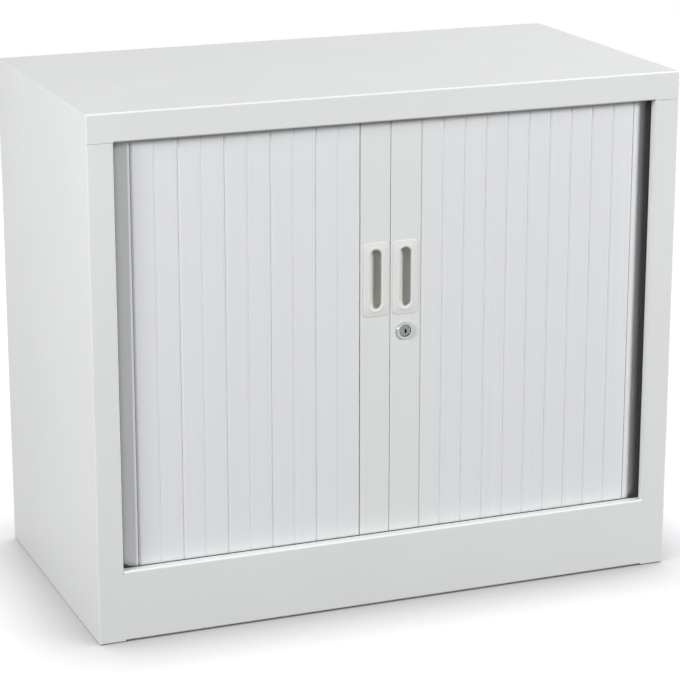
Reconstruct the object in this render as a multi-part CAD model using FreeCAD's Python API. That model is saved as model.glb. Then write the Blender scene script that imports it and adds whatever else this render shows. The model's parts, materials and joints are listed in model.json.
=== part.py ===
import FreeCAD, Part
import math
import os

from FreeCAD import Vector

# A low steel cupboard closed by two side-opening tambour shutters.
# Millimetres. X runs left to right, Y from front to back, Z up.
# The origin is on the floor, under the middle of the cupboard.

# Whole cupboard
cupboard_width = 800.0
cupboard_depth = 420.0
cupboard_height = 680.0
floor_gap = 2.0  # air between the steel and the floor, taken up by the feet

# Outer sheet steel
skin = 1.0
bend = 2.5  # outside radius of a fold
seam = 0.4  # open line where the top panel sits on a stile

# Front frame
stile_width = 34.0
stile_return = 12.0
header_height = 36.5
plinth_height = 95.0
ledge_depth = 12.0
corner_notch = 4.0  # how far the stile's return stops below the ledge
rear_flange = 15.0
foot_flange = 10.0
lap_depth = 15.0  # top panel's inner flange, welded to the side skin
lap_inset = 10.0

# Pans that carry the tracks
pan_flange = 18.0
ledge_step = 0.5  # bottom track's rim below the ledge, and top track's above the header's return

# Tracks
low_track_height = 12.5
high_track_height = 15.0
track_floor = 2.0
track_wall = 1.5
track_play = 0.5  # air each side of a slat
slat_foot_gap = 1.0
slat_lift_gap = 2.0
track_back_gap = 9.0
stop_length = 8.0
stop_play = 0.5

# Shutters
shutter_recess = 14.0
slat_thickness = 7.0
slat_pitch = 30.0
lead_width = 41.5
meeting_gap = 0.6
turn_radius = 40.0
pocket_inset = 15.0  # outer side face to the middle of the slats in the pocket
lead_park = 3.5  # parked lead slat to the start of the turn

# Slat section
front_wall = 1.0
slat_wall = 1.0
slat_gap = 0.5  # the line seen between two slats
bead_radius = 1.1
socket_radius = 1.3
lip_radius = 2.1
neck_width = 0.9
joint_room = 2.6  # joint's centre to the end wall of the slat before it
fold_relief = 2.0
socket_step = 0.6
lip_margin_deg = 4.0

# Lead slat
lead_wall = 1.6
lead_edge_radius = 1.5
chamber_share = 0.3

# Pulls
pull_centre = 20.4
pull_gap = 11.0  # lock's collar to the plate above it
plate_width = 35.0
plate_height = 97.0
plate_corner = 7.0
plate_rise = 0.8
slot_width = 16.5
slot_height = 78.0
cup_wall = 2.0
cup_depth = 11.0
cup_floor = 1.5
cup_play = 0.25
slot_lip = 0.6

# Lock
lock_height = 366.0
bezel_radius = 11.5
bezel_rise = 2.5
bezel_edge = 1.0
lock_body_radius = 9.0
lock_body_play = 0.2
lock_nut_flats = 22.0
lock_nut_thickness = 3.0
lock_turn_play = 0.05
core_radius = 8.0
core_proud = 0.5
core_edge = 0.6
keyhole_width = 2.2
keyhole_height = 8.0
keyhole_depth = 6.0
spigot_side = 7.0
cam_play = 0.4
cam_thickness = 2.0
cam_bore_play = 0.1
hub_radius = 8.5
arm_width = 11.0
hook_reach = 28.0
hook_jaw = 3.0
hook_play = 0.5
hook_lead_deg = 30.0
hook_trail_deg = 18.0
hook_stop_deg = 6.0
cam_screw_head = 5.5
cam_screw_rise = 1.8
cam_screw_shank = 1.5
cam_screw_length = 5.0

# Keeper on the left lead slat
keeper_width = 19.0
keeper_height = 28.0
keeper_thickness = 1.5
keeper_edge = 3.0
keeper_post = 2.0
keeper_post_proud = 1.0
keeper_screw_edge = 4.0
keeper_screw_head = 2.8
keeper_screw_shank = 1.5
keeper_screw_length = 5.0

# Glides
shoe_thickness = 1.7
shoe_gap = 0.2
plug_depth = 8.0
plug_play = 0.2

# Liners
liner_sheet = 0.8
liner_bend = 1.6
liner_play = 0.3
facet = 24.0
liner_hem = 8.0
liner_flange = 10.0
liner_flange_inset = 12.0
slot_row_pitch = 25.0
first_slot_row = 40.0
last_slot_gap = 36.0
clip_slot_width = 10.0
clip_slot_height = 7.0
front_slot_inset = 40.0
rear_slot_inset = 45.0

# Floor panel
floor_sheet = 1.0
floor_play = 0.5
floor_flange_inset = 20.0

# Shelf and clips
row_count_under_shelf = 10
shelf_sheet = 0.8
shelf_bend = 1.8
shelf_lip = 22.0
shelf_side_lip = 14.0
shelf_return = 10.0
shelf_side_play = 1.0
shelf_front_gap = 4.5
shelf_back_gap = 8.0
clip_sheet = 1.5
clip_reach = 12.0
clip_arm_width = 16.0
clip_tongue = 2.6
clip_hook = 5.0
clip_play = 0.3

# Foot rails and feet
rail_width = 44.0
rail_sheet = 1.5
rail_bend = 3.0
rail_drop = 55.0
rail_side_gap = 10.0
rail_end_gap = 10.0
collar_height = 10.0
collar_wall = 3.0
foot_inset = 40.0
pad_radius = 19.0
pad_height = 7.0
pad_edge = 1.5
hex_flats = 15.0
hex_height = 6.0
stud_radius = 5.0
stud_length = 46.0
stud_play = 0.05
driver_slot_width = 1.6
driver_slot_depth = 2.0

# Back panel screws
back_play = 0.3
screw_head = 3.0
screw_shank = 1.5
screw_length = 6.0
screw_play = 0.1
screw_recess = 0.6
side_screws = 4
rail_screws = 3
screw_end_gap = 60.0
rail_screw_spacing = 250.0

overrun = 5.0  # how far a cutter runs past what it cuts
flat_play = 0.01  # edges this close to a plane lie in it
aligned = 1.0e-6  # two directions this close are the same
search_steps = 50

# Places worked out from the sizes above
half_width = cupboard_width / 2
half_depth = cupboard_depth / 2
front = -half_depth
back = half_depth
side_inner = half_width - skin
opening_side = half_width - stile_width
opening_top = cupboard_height - header_height
return_back = front + stile_return
base_top = plinth_height - ledge_step - low_track_height
base_under = base_top - skin
high_track_bottom = opening_top + skin + ledge_step
head_under = high_track_bottom + high_track_height
head_top = head_under + skin
roof = cupboard_height - skin

curtain_face = front + shutter_recess
curtain_middle = curtain_face + slat_thickness / 2
curtain_rear = curtain_face + slat_thickness
slat_bottom = base_top + track_floor + slat_foot_gap
slat_top = head_under - track_floor - slat_lift_gap

pocket_middle = half_width - pocket_inset
turn_x = pocket_middle - turn_radius
turn_y = curtain_middle + turn_radius
track_end = back - track_back_gap
half_fold = math.asin(slat_pitch / 2 / turn_radius)
outer_reach = slat_thickness / 2 + track_play
inner_reach = outer_reach + turn_radius * (1 - math.cos(half_fold))
corner_start = turn_x - slat_pitch
shutter_travel = turn_x - lead_park - lead_width

straight_slats = math.floor((turn_x - lead_width) / slat_pitch)
turn_length = turn_radius * math.pi / 2
parked_length = lead_park + turn_length + track_end - turn_y - stop_length
all_slats = math.floor(parked_length / slat_pitch)

liner_outer = pocket_middle - inner_reach - track_wall - liner_play
liner_inner = liner_outer - liner_sheet
facet_x = liner_outer - facet
facet_y = turn_y - facet
front_slots_y = turn_y + front_slot_inset
rear_slots_y = back - rear_slot_inset
slot_rows = math.floor((head_under - last_slot_gap - base_top - first_slot_row) / slot_row_pitch) + 1
clip_top = base_top + first_slot_row + row_count_under_shelf * slot_row_pitch
shelf_top = clip_top + shelf_side_lip
back_front = back - 2 * skin  # front face of the back panel

pull_height = lock_height + bezel_radius + pull_gap + plate_height / 2
lock_rear = curtain_rear + lock_nut_thickness
cam_front = lock_rear + cam_play
cam_rear = cam_front + cam_thickness


def spot(axis, a, b, along):
    """The point at a, b on the section square to the axis, and at this place along it."""
    places = {"x": (along, a, b), "y": (a, along, b), "z": (a, b, along)}
    return Vector(*places[axis])


def block(x0, x1, y0, y1, z0, z1):
    """A box between two corners."""
    return Part.makeBox(x1 - x0, y1 - y0, z1 - z0, Vector(x0, y0, z0))


def rod(axis, a, b, radius, low, high):
    """A round bar along an axis."""
    direction = spot(axis, 0, 0, 1)
    return Part.makeCylinder(radius, high - low, spot(axis, a, b, low), direction)


def cone(axis, a, b, low_radius, high_radius, low, high):
    """A tapered bar along an axis."""
    direction = spot(axis, 0, 0, 1)
    return Part.makeCone(low_radius, high_radius, high - low, spot(axis, a, b, low), direction)


def extruded(axis, edges, low, high):
    """A closed outline, given as edges at the low end, run along the axis."""
    face = Part.Face(Part.Wire(Part.__sortEdges__(edges)))
    return face.extrude(spot(axis, 0, 0, high - low))


def polygon(axis, points, low, high):
    """A straight-sided outline run along the axis."""
    corners = [spot(axis, a, b, low) for a, b in points]
    edges = [Part.LineSegment(p, q).toShape() for p, q in zip(corners, corners[1:] + corners[:1])]
    return extruded(axis, edges, low, high)


def rounded(axis, a0, a1, b0, b1, low, high, radius):
    """A bar with a rectangular section whose corners are round."""
    bar = polygon(axis, [(a0, b0), (a1, b0), (a1, b1), (a0, b1)], low, high)
    way = spot(axis, 0, 0, 1)
    along = [edge for edge in bar.Edges if edge.tangentAt(edge.FirstParameter).isEqual(way, aligned)]
    along += [edge for edge in bar.Edges if edge.tangentAt(edge.FirstParameter).isEqual(-way, aligned)]
    return bar.makeFillet(radius, along)


def stadium(axis, a, b, width, height, low, high):
    """A bar with a round-ended upright section, centred on a, b."""
    straight = height - width
    middle = polygon(
        axis,
        [
            (a - width / 2, b - straight / 2),
            (a + width / 2, b - straight / 2),
            (a + width / 2, b + straight / 2),
            (a - width / 2, b + straight / 2),
        ],
        low,
        high,
    )
    ends = [rod(axis, a, b + side * straight / 2, width / 2, low, high) for side in (-1, 1)]
    return middle.multiFuse(ends).removeSplitter()


def hexagon(axis, a, b, flats, low, high):
    """A six-sided bar, measured across its flats."""
    corner = flats / math.sqrt(3)
    points = [
        (a + corner * math.cos(k * math.pi / 3), b + corner * math.sin(k * math.pi / 3)) for k in range(6)
    ]
    return polygon(axis, points, low, high)


def folded(axis, points, sheet, radius, side, low, high):
    """A folded sheet. The points trace one face; the metal lies to the left (1) or right (-1)."""
    traced = []
    opposite = []

    def offset(point, heading):
        return (point[0] - side * sheet * heading[1], point[1] + side * sheet * heading[0])

    headings = []
    for (a0, b0), (a1, b1) in zip(points, points[1:]):
        run = math.hypot(a1 - a0, b1 - b0)
        headings.append(((a1 - a0) / run, (b1 - b0) / run))
    here = points[0]
    here_far = offset(here, headings[0])
    for corner, before, after in zip(points[1:-1], headings, headings[1:]):
        turn = before[0] * after[1] - before[1] * after[0]
        angle = math.atan2(turn, before[0] * after[0] + before[1] * after[1])
        towards = 1 if turn > 0 else -1
        near_radius = radius if towards == side else radius - sheet
        far_radius = radius - sheet if towards == side else radius
        reach = near_radius * math.tan(abs(angle) / 2)
        start = (corner[0] - before[0] * reach, corner[1] - before[1] * reach)
        end = (corner[0] + after[0] * reach, corner[1] + after[1] * reach)
        centre = (start[0] - towards * near_radius * before[1], start[1] + towards * near_radius * before[0])
        out = math.hypot(corner[0] - centre[0], corner[1] - centre[1])
        aim = ((corner[0] - centre[0]) / out, (corner[1] - centre[1]) / out)
        near_middle = (centre[0] + aim[0] * near_radius, centre[1] + aim[1] * near_radius)
        far_middle = (centre[0] + aim[0] * far_radius, centre[1] + aim[1] * far_radius)
        far_start = offset(start, before)
        far_end = offset(end, after)
        traced += [(here, start), (start, near_middle, end)]
        opposite += [(here_far, far_start), (far_start, far_middle, far_end)]
        here = end
        here_far = far_end
    last_far = offset(points[-1], headings[-1])
    traced.append((here, points[-1]))
    opposite.append((here_far, last_far))
    pieces = traced + opposite + [(points[0], offset(points[0], headings[0])), (points[-1], last_far)]
    edges = []
    for piece in pieces:
        ends = [spot(axis, a, b, low) for a, b in piece]
        curve = Part.LineSegment(*ends) if len(ends) == 2 else Part.Arc(*ends)
        edges.append(curve.toShape())
    return extruded(axis, edges, low, high)


def tray(x0, x1, y0, y1, z0, z1, sheet, radius):
    """A lid open below: top sheet with a flange down each side, round along every upper and upright edge."""

    def rounded_box(inset, edge_radius):
        box = block(x0 + inset, x1 - inset, y0 + inset, y1 - inset, z0, z1 - inset)
        edges = [e for e in box.Edges if max(v.Point.z for v in e.Vertexes) > (z0 + z1) / 2]
        return box.makeFillet(edge_radius, edges)

    return rounded_box(0, radius).cut(rounded_box(sheet, radius - sheet))


def edges_at(shape, axis, level):
    """The edges that lie flat in the plane at this place along the axis."""
    found = []
    for edge in shape.Edges:
        box = edge.BoundBox
        low, high = {"x": (box.XMin, box.XMax), "y": (box.YMin, box.YMax), "z": (box.ZMin, box.ZMax)}[axis]
        if max(abs(low - level), abs(high - level)) < flat_play:
            found.append(edge)
    return found


def ring_part(axis, a, b, inner, outer, start_deg, end_deg, low, high):
    """A stretch of a flat ring, its angles measured from the first direction towards the second."""
    start = math.radians(start_deg)
    end = math.radians(end_deg)
    middle = (start + end) / 2

    def at(radius, angle):
        return spot(axis, a + radius * math.cos(angle), b + radius * math.sin(angle), low)

    edges = [
        Part.Arc(at(inner, start), at(inner, middle), at(inner, end)).toShape(),
        Part.Arc(at(outer, start), at(outer, middle), at(outer, end)).toShape(),
        Part.LineSegment(at(inner, start), at(outer, start)).toShape(),
        Part.LineSegment(at(inner, end), at(outer, end)).toShape(),
    ]
    return extruded(axis, edges, low, high)


def mirrored(shape):
    """The same piece on the left side."""
    return shape.mirror(Vector(0, 0, 0), Vector(1, 0, 0))


def countersunk(axis, a, b, face, inward, head, shank, sink, length, play):
    """A flat-headed screw whose head lies flush in the face. With play it is the cutter for its hole."""
    deep = face + inward * sink
    tip = face + inward * length
    narrow = shank + play
    wide = head + play
    if inward > 0:
        top = cone(axis, a, b, wide, narrow, face, deep)
    else:
        top = cone(axis, a, b, narrow, wide, deep, face)
    return top.fuse(rod(axis, a, b, narrow, min(deep, tip), max(deep, tip))).removeSplitter()


def back_screw_places():
    """Where the back panel is screwed: x, z and the outer face that each head lies in."""
    low = floor_gap + screw_end_gap
    high = opening_top - screw_end_gap
    step = (high - low) / (side_screws - 1)
    side_x = half_width - rear_flange / 2
    places = []
    for side in (-1, 1):
        places += [(side * side_x, low + k * step, back) for k in range(side_screws)]
    for k in range(rail_screws):
        x = (k - (rail_screws - 1) / 2) * rail_screw_spacing
        places.append((x, head_top + pan_flange / 2, back))
        places.append((x, base_under - pan_flange / 2, back - skin))
    return places


def back_screw_holes():
    """Every hole for the back panel's screws, as one cutter."""
    holes = [
        countersunk("y", x, z, face, -1, screw_head, screw_shank, skin, screw_length + overrun, screw_play)
        for x, z, face in back_screw_places()
    ]
    return Part.makeCompound(holes)


def back_screws():
    """The screws themselves, each with a cross cut in its head."""
    screws = []
    for x, z, face in back_screw_places():
        screw = countersunk("y", x, z, face, -1, screw_head, screw_shank, skin, screw_length, 0)
        arm = screw_head / 2
        thin = screw_recess / 2
        across = block(x - arm, x + arm, face - screw_recess, face + overrun, z - thin, z + thin)
        upright = block(x - thin, x + thin, face - screw_recess, face + overrun, z - arm, z + arm)
        screws.append(screw.cut(across).cut(upright))
    return Part.makeCompound(screws)


def top_panel():
    """The top sheet. Its front flange runs the full width and turns back above the opening."""
    lid = tray(-half_width, half_width, front, back, opening_top, cupboard_height, skin, bend)
    fold_end = cupboard_height - bend
    for side in (-1, 1):
        edges = sorted((side * (half_width + overrun), side * (half_width - bend - skin)))
        inner_y = half_depth - bend
        lid = lid.cut(block(*edges, -inner_y, inner_y, opening_top - overrun, fold_end))
    lower_edge = block(
        -opening_side, opening_side, front - overrun, front + bend, opening_top - overrun, opening_top + bend
    )
    lid = lid.cut(lower_edge)
    outline = [(front, opening_top + 2 * bend), (front, opening_top), (return_back, opening_top)]
    pieces = [folded("x", outline, skin, bend, 1, -opening_side, opening_side)]
    for side in (-1, 1):
        edges = sorted((side * side_inner, side * (side_inner - skin)))
        inner_y = half_depth - lap_inset
        pieces.append(block(*edges, -inner_y, inner_y, fold_end - lap_depth, roof))
    return lid.multiFuse(pieces).removeSplitter().cut(back_screw_holes())


def right_side_panel():
    """Side skin with the front stile, the return behind the stile and a rear flange, all one sheet."""
    notch = plinth_height - corner_notch
    stile_top = opening_top - seam
    outline = [
        (half_width - rear_flange, back),
        (half_width, back),
        (half_width, front),
        (opening_side, front),
        (opening_side, return_back),
    ]
    upper = folded("z", outline, skin, bend, -1, notch, stile_top)
    lower = folded("z", outline[:-1], skin, bend, -1, floor_gap, notch)
    crown = block(side_inner, half_width, front + bend, back - bend, stile_top, cupboard_height - bend)
    flange = block(
        side_inner - foot_flange,
        side_inner,
        front + rear_flange,
        back - rear_flange,
        floor_gap,
        floor_gap + skin,
    )
    return upper.multiFuse([lower, crown, flange]).removeSplitter().cut(back_screw_holes())


def plinth_front():
    """The tall rail under the opening, with the ledge along its top and a flange at its foot."""
    outline = [
        (front + ledge_depth, plinth_height),
        (front, plinth_height),
        (front, floor_gap),
        (front + rear_flange, floor_gap),
    ]
    return folded("x", outline, skin, bend, 1, -opening_side, opening_side)


def back_panel():
    """A flat sheet inside the rear flanges, clear of the folds."""
    inset = bend + back_play
    reach = half_width - inset
    sheet = block(-reach, reach, back_front, back - skin, floor_gap, cupboard_height - inset)
    return sheet.cut(back_screw_holes())


def pan(half_x, low, high, sheet_low):
    """A full-size sheet with a flange along each edge, up or down, and notched corners."""
    outer_y = (front + skin, back_front)
    inner_x = half_x - skin
    inner_y = (outer_y[0] + skin, outer_y[1] - skin)
    body = block(-half_x, half_x, *outer_y, low, high)
    for z0, z1 in ((low - overrun, sheet_low), (sheet_low + skin, high + overrun)):
        body = body.cut(block(-inner_x, inner_x, *inner_y, z0, z1))
    for x in (-half_x, half_x):
        for y in outer_y:
            body = body.cut(block(x - bend, x + bend, y - bend, y + bend, low - overrun, high + overrun))
    return body.cut(back_screw_holes())


def base_pan():
    """Carries the bottom tracks, the liners and the storage floor."""
    return pan(side_inner, base_under - pan_flange, base_top, base_under)


def head_pan():
    """Carries the top tracks and closes the storage space above."""
    return pan(side_inner - skin, head_under, cupboard_height - bend, head_under)


def floor_panel():
    """Raised floor between the liners, level with the ledge."""
    start_y = curtain_middle + inner_reach + track_wall + liner_play
    side = liner_inner - floor_play
    hem_x = facet_x - liner_hem
    cut_x = facet_x - liner_sheet - floor_play
    cut_y = facet_y + liner_sheet + floor_play
    flange_front = back_front - liner_sheet - floor_play
    flange_end = liner_outer - rear_flange - floor_play
    right = [
        (hem_x - floor_play, start_y),
        (hem_x - floor_play, cut_y),
        (cut_x, cut_y),
        (side, cut_y + side - cut_x),
        (side, flange_front),
        (flange_end, flange_front),
        (flange_end, back_front),
    ]
    left = [(-x, y) for x, y in reversed(right)]
    sheet = polygon("z", right + left, plinth_height - floor_sheet, plinth_height)
    flange_x = hem_x - floor_flange_inset
    low = block(-flange_x, flange_x, start_y, start_y + floor_sheet, base_top, plinth_height)
    rear = block(-flange_x, flange_x, back_front - floor_sheet, back_front, base_top, plinth_height)
    return sheet.multiFuse([low, rear]).removeSplitter()


def right_liner():
    """The wall between the storage space and the shutter's pocket, with rows of slots for the clips."""
    outline = [
        (liner_outer - rear_flange, back_front),
        (liner_outer, back_front),
        (liner_outer, turn_y),
        (facet_x, facet_y),
        (facet_x - liner_hem, facet_y),
    ]
    wall = folded("z", outline, liner_sheet, liner_bend, -1, base_top, head_under)
    flange_y = (turn_y + liner_flange_inset, back_front - liner_flange_inset)
    inner = liner_outer - liner_flange
    foot = block(inner, liner_outer, *flange_y, base_top, base_top + liner_sheet)
    head = block(inner, liner_outer, *flange_y, head_under - liner_sheet, head_under)
    wall = wall.multiFuse([foot, head]).removeSplitter()
    cutters = []
    for y in (front_slots_y, rear_slots_y):
        for row in range(slot_rows):
            top = base_top + first_slot_row + row * slot_row_pitch
            half = clip_slot_width / 2
            x0 = liner_inner - overrun
            x1 = liner_outer + overrun
            cutters.append(block(x0, x1, y - half, y + half, top - clip_slot_height, top))
    return wall.cut(Part.makeCompound(cutters))


def low_channel(z0, z1, floor_up):
    """Start and end heights of a track's groove: open above for a bottom track, below for a top one."""
    if floor_up:
        return z0 + track_floor, z1 + overrun
    return z0 - overrun, z1 - track_floor


def front_track(z0, z1, floor_up):
    """The straight track across the opening."""
    wide = outer_reach + track_wall
    groove = low_channel(z0, z1, floor_up)
    run = corner_start
    body = block(-run, run, curtain_middle - wide, curtain_middle + wide, z0, z1)
    cut = block(
        -run - overrun,
        run + overrun,
        curtain_middle - outer_reach,
        curtain_middle + outer_reach,
        *groove,
    )
    return body.cut(cut)


def turning_band(outer, inner, start_x, end_y, z0, z1):
    """A strip that follows the shutter's path: along the front, round the turn and back along the side."""
    spread = math.sqrt(0.5)
    out = turn_radius + outer
    into = turn_radius - inner
    corners = [
        (start_x, curtain_middle - outer),
        (turn_x, curtain_middle - outer),
        (turn_x + out, turn_y),
        (turn_x + out, end_y),
        (turn_x + into, end_y),
        (turn_x + into, turn_y),
        (turn_x, curtain_middle + inner),
        (start_x, curtain_middle + inner),
    ]
    points = [spot("z", a, b, z0) for a, b in corners]
    arc_out = spot("z", turn_x + out * spread, turn_y - out * spread, z0)
    arc_in = spot("z", turn_x + into * spread, turn_y - into * spread, z0)
    edges = []
    for k, point in enumerate(points):
        after = points[(k + 1) % len(points)]
        if k == 1:
            edges.append(Part.Arc(point, arc_out, after).toShape())
        elif k == 5:
            edges.append(Part.Arc(point, arc_in, after).toShape())
        else:
            edges.append(Part.LineSegment(point, after).toShape())
    return extruded("z", edges, z0, z1)


def right_track(z0, z1, floor_up):
    """The track round the corner and along the side. It is wider inside, for slats that cut the curve."""
    body = turning_band(
        outer_reach + track_wall, inner_reach + track_wall, corner_start, track_end, z0, z1
    )
    groove = low_channel(z0, z1, floor_up)
    cut = turning_band(
        outer_reach, inner_reach, corner_start - overrun, track_end + overrun, *groove
    )
    return body.cut(cut)


def path_point(along):
    """A point on the right shutter's path, this far from the middle of the front."""
    if along <= turn_x:
        return along, curtain_middle
    if along <= turn_x + turn_length:
        angle = (along - turn_x) / turn_radius
        return turn_x + turn_radius * math.sin(angle), turn_y - turn_radius * math.cos(angle)
    return pocket_middle, turn_y + along - turn_x - turn_length


def joints_from(start, count):
    """The joints between slats, one pitch apart in a straight line, starting this far along the path."""
    places = [start]
    for _ in range(count):
        x, y = path_point(places[-1])
        low = places[-1] + slat_pitch
        high = low + slat_pitch
        for _ in range(search_steps):
            middle = (low + high) / 2
            mx, my = path_point(middle)
            if math.hypot(mx - x, my - y) < slat_pitch:
                low = middle
            else:
                high = middle
        places.append((low + high) / 2)
    return [path_point(place) for place in places]


def end_stops():
    """Blocks in the side tracks that the last slat meets when a shutter is fully open."""
    tail_y = joints_from(lead_width + shutter_travel, all_slats)[-1][1]
    y0 = tail_y + bead_radius + stop_play
    x0 = pocket_middle - inner_reach
    x1 = pocket_middle + outer_reach
    stops = []
    for z0, z1 in (
        (base_top + track_floor, base_top + low_track_height),
        (high_track_bottom, head_under - track_floor),
    ):
        stop = block(x0, x1, y0, y0 + stop_length, z0, z1)
        stops += [stop, mirrored(stop)]
    return Part.makeCompound(stops)


def joint_bead(u, z0, z1):
    """The bead that links a slat to the next, on its neck."""
    half = neck_width / 2
    neck = block(u - joint_room - slat_wall, u, -half, half, z0, z1)
    return [neck, rod("z", u, 0, bead_radius, z0, z1)]


def slat():
    """One slat, lying along X from its socket at the origin to its bead, its face towards -Y."""
    face = -slat_thickness / 2
    rear = slat_thickness / 2
    half_gap = slat_gap / 2
    end_wall = slat_pitch - joint_room
    skin_back = face + front_wall
    outline = [
        (half_gap, face),
        (slat_pitch - half_gap, face),
        (slat_pitch - half_gap, skin_back),
        (end_wall, skin_back),
        (end_wall, rear),
        (fold_relief, rear),
        (socket_step, lip_radius),
        (socket_step, skin_back),
        (half_gap, skin_back),
    ]
    body = polygon("z", outline, slat_bottom, slat_top)
    neck_deg = math.degrees(math.asin(neck_width / 2 / socket_radius))
    fold_deg = math.degrees(2 * half_fold)
    mouth_start = 180 - fold_deg - neck_deg - lip_margin_deg
    mouth_end = 180 + neck_deg + lip_margin_deg
    lips = ring_part(
        "z", 0, 0, socket_radius, lip_radius, mouth_end - 360, mouth_start, slat_bottom, slat_top
    )
    body = body.multiFuse([lips] + joint_bead(slat_pitch, slat_bottom, slat_top)).removeSplitter()
    body = body.cut(rod("z", 0, 0, socket_radius, slat_bottom, slat_top))
    first = lip_radius + slat_wall
    last = end_wall - slat_wall
    middle = (first + last) / 2
    web = slat_wall / 2
    low = slat_bottom - overrun
    high = slat_top + overrun
    for u0, u1 in ((first, middle - web), (middle + web, last)):
        body = body.cut(block(u0, u1, skin_back, rear - slat_wall, low, high))
    return body


def placed(piece, start, end):
    """A slat turned and moved to lie between two joints."""
    heading = math.degrees(math.atan2(end[1] - start[1], end[0] - start[0]))
    moved = piece.copy()
    moved.rotate(Vector(0, 0, 0), Vector(0, 0, 1), heading)
    moved.translate(Vector(start[0], start[1], 0))
    return moved


def lead_chambers():
    """The hollows along a lead slat, as start and end distances from the meeting line."""
    first = meeting_gap / 2 + lead_wall
    last = lead_width - joint_room - lead_wall
    web = lead_wall / 2
    span = last - first
    left = first + chamber_share * span
    right = last - chamber_share * span
    return [(first, left - web), (left + web, right - web), (right + web, last)]


def lead_slat():
    """The wide slat at the meeting edge: a hollow extrusion, open for the pull, with the joint's bead."""
    bottom = slat_bottom + shoe_thickness + shoe_gap
    top = slat_top - shoe_thickness - shoe_gap
    face = curtain_face
    end_wall = lead_width - joint_room
    body = rounded(
        "z", meeting_gap / 2, end_wall, face, curtain_rear, bottom, top, lead_edge_radius
    )
    front_skin = block(
        end_wall - lead_edge_radius, lead_width - slat_gap / 2, face, face + front_wall, bottom, top
    )
    bead = [part.translated(Vector(0, curtain_middle, 0)) for part in joint_bead(lead_width, bottom, top)]
    body = body.multiFuse([front_skin] + bead).removeSplitter()
    for x0, x1 in lead_chambers():
        body = body.cut(
            block(x0, x1, face + lead_wall, curtain_rear - lead_wall, bottom - overrun, top + overrun)
        )
    body_width = slot_width + 2 * (cup_wall + cup_play)
    body_height = slot_height + 2 * (cup_wall + cup_play)
    return body.cut(
        stadium(
            "y",
            pull_centre,
            pull_height,
            body_width,
            body_height,
            face - overrun,
            curtain_rear + overrun,
        )
    )


def right_lead_slat():
    """The lead slat that carries the lock."""
    radius = lock_body_radius + lock_body_play
    hole = rod(
        "y", pull_centre, lock_height, radius, curtain_face - overrun, curtain_rear + overrun
    )
    return lead_slat().cut(hole)


def left_lead_slat():
    """The lead slat that carries the keeper."""
    return mirrored(lead_slat()).cut(keeper_screw_holes())


def handle_cup():
    """A plate with a round-ended finger slot and a shallow cup behind it."""
    face = curtain_face - plate_rise
    half_width_of_plate = plate_width / 2
    plate = rounded(
        "y",
        pull_centre - half_width_of_plate,
        pull_centre + half_width_of_plate,
        pull_height - plate_height / 2,
        pull_height + plate_height / 2,
        face,
        curtain_face,
        plate_corner,
    )
    rear = face + cup_depth + cup_floor
    cup = stadium(
        "y",
        pull_centre,
        pull_height,
        slot_width + 2 * cup_wall,
        slot_height + 2 * cup_wall,
        face,
        rear,
    )
    body = plate.fuse(cup).removeSplitter()
    hollow = stadium(
        "y", pull_centre, pull_height, slot_width, slot_height, face - overrun, face + cup_depth
    )
    body = body.cut(hollow)
    near = stadium(
        "y",
        pull_centre,
        pull_height,
        slot_width + 2 * cup_wall,
        slot_height + 2 * cup_wall,
        face - slot_lip,
        face + slot_lip,
    )
    rim = [e for e in edges_at(body, "y", face) if near.isInside(e.Vertexes[0].Point, flat_play, True)]
    return body.makeFillet(slot_lip, rim)


def lead_glides():
    """A shoe for each end of a lead slat, with plugs pressed into its hollows."""
    glides = []
    y0 = curtain_face + lead_wall + plug_play
    y1 = curtain_rear - lead_wall - plug_play
    chambers = lead_chambers()
    end = lead_width - joint_room
    for rest, way in ((slat_bottom, 1), (slat_top, -1)):
        shoe_end = rest + way * shoe_thickness
        plug_end = shoe_end + way * (shoe_gap + plug_depth)
        low, high = sorted((rest, shoe_end))
        shoe = block(meeting_gap / 2, end, curtain_face, curtain_rear, low, high)
        plugs = []
        for x0, x1 in (chambers[0], chambers[-1]):
            low, high = sorted((shoe_end, plug_end))
            plugs.append(block(x0 + plug_play, x1 - plug_play, y0, y1, low, high))
        glides.append(shoe.multiFuse(plugs).removeSplitter())
    return Part.makeCompound(glides)


def lock_housing():
    """The collar in front of the lead slat and the barrel through it."""
    bezel_face = curtain_face - bezel_rise
    bezel = rod("y", pull_centre, lock_height, bezel_radius, bezel_face, curtain_face)
    bezel = bezel.makeFillet(bezel_edge, edges_at(bezel, "y", bezel_face))
    barrel = rod("y", pull_centre, lock_height, lock_body_radius, curtain_face, lock_rear)
    bore = rod(
        "y",
        pull_centre,
        lock_height,
        core_radius + lock_turn_play,
        bezel_face - overrun,
        lock_rear + overrun,
    )
    return bezel.fuse(barrel).removeSplitter().cut(bore)


def lock_nut():
    """The nut that clamps the housing to the lead slat."""
    nut = hexagon("y", pull_centre, lock_height, lock_nut_flats, curtain_rear, lock_rear)
    bore = rod(
        "y",
        pull_centre,
        lock_height,
        lock_body_radius,
        curtain_rear - overrun,
        lock_rear + overrun,
    )
    return nut.cut(bore)


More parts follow.
